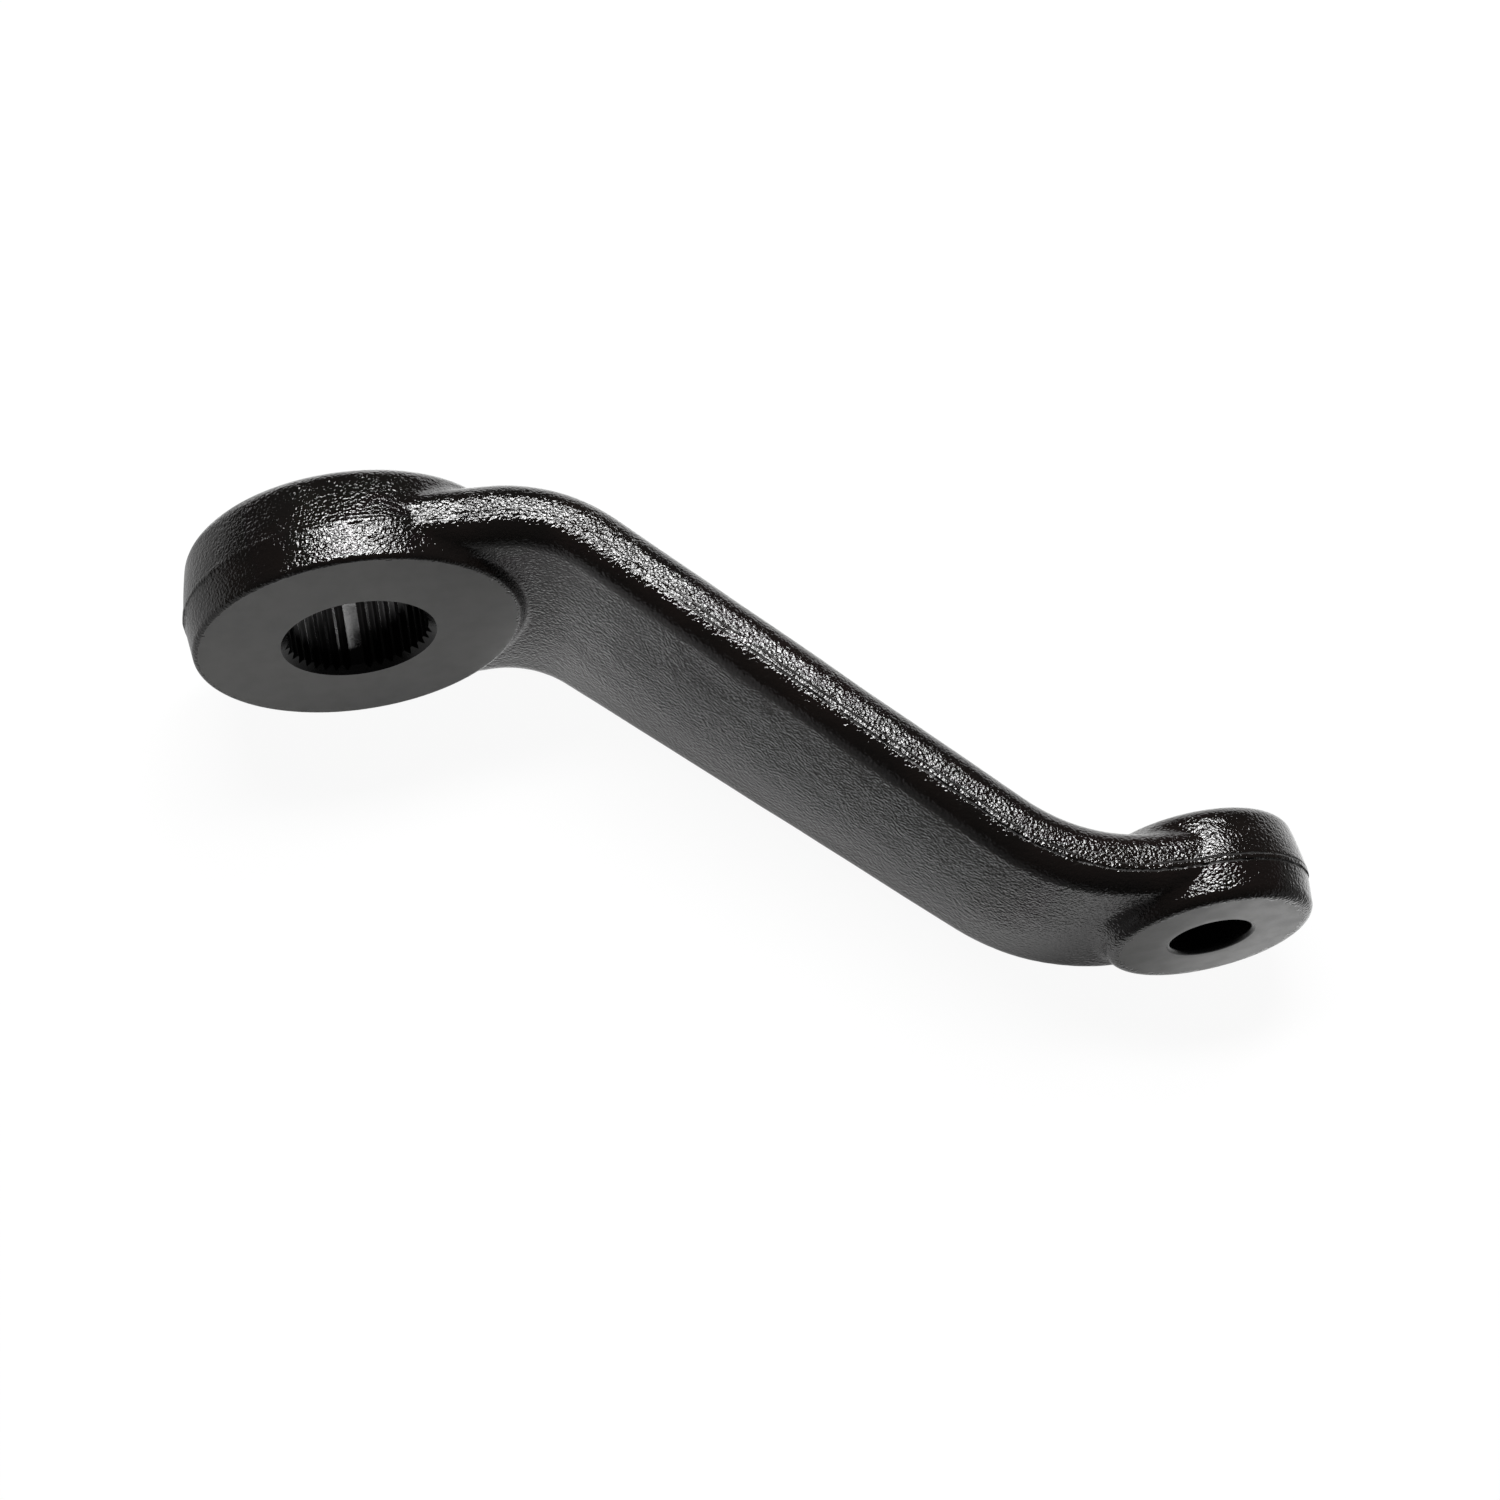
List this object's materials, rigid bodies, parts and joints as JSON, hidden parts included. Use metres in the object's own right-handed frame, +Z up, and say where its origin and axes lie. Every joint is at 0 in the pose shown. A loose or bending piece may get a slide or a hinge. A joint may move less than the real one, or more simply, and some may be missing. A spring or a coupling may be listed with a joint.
{
  "type": "pitman arm",
  "caption": "Forged drop arm: a serrated tapered hub bore for the steering shaft and a smooth tapered eye for a ball stud, joined by an S-shaped arm.",
  "frame": {"origin": "centre of the shaft bore on the hub's lower face, the face that looks the same way as the eye's drop", "axes": "+Y along both bore axes from the hub's lower face toward the steering box side; +X from hub to eye; +Z up, with the arm lying on its side on hub and eye"},
  "size_m": [0.2068, 0.1073, 0.0668],
  "materials": {
    "coated_steel": "semi-gloss black coating over a forged steel surface with a fine leathery texture"
  },
  "bodies": {
    "root": {"pitman_arm": "coated_steel"}
  },
  "joints": []
}
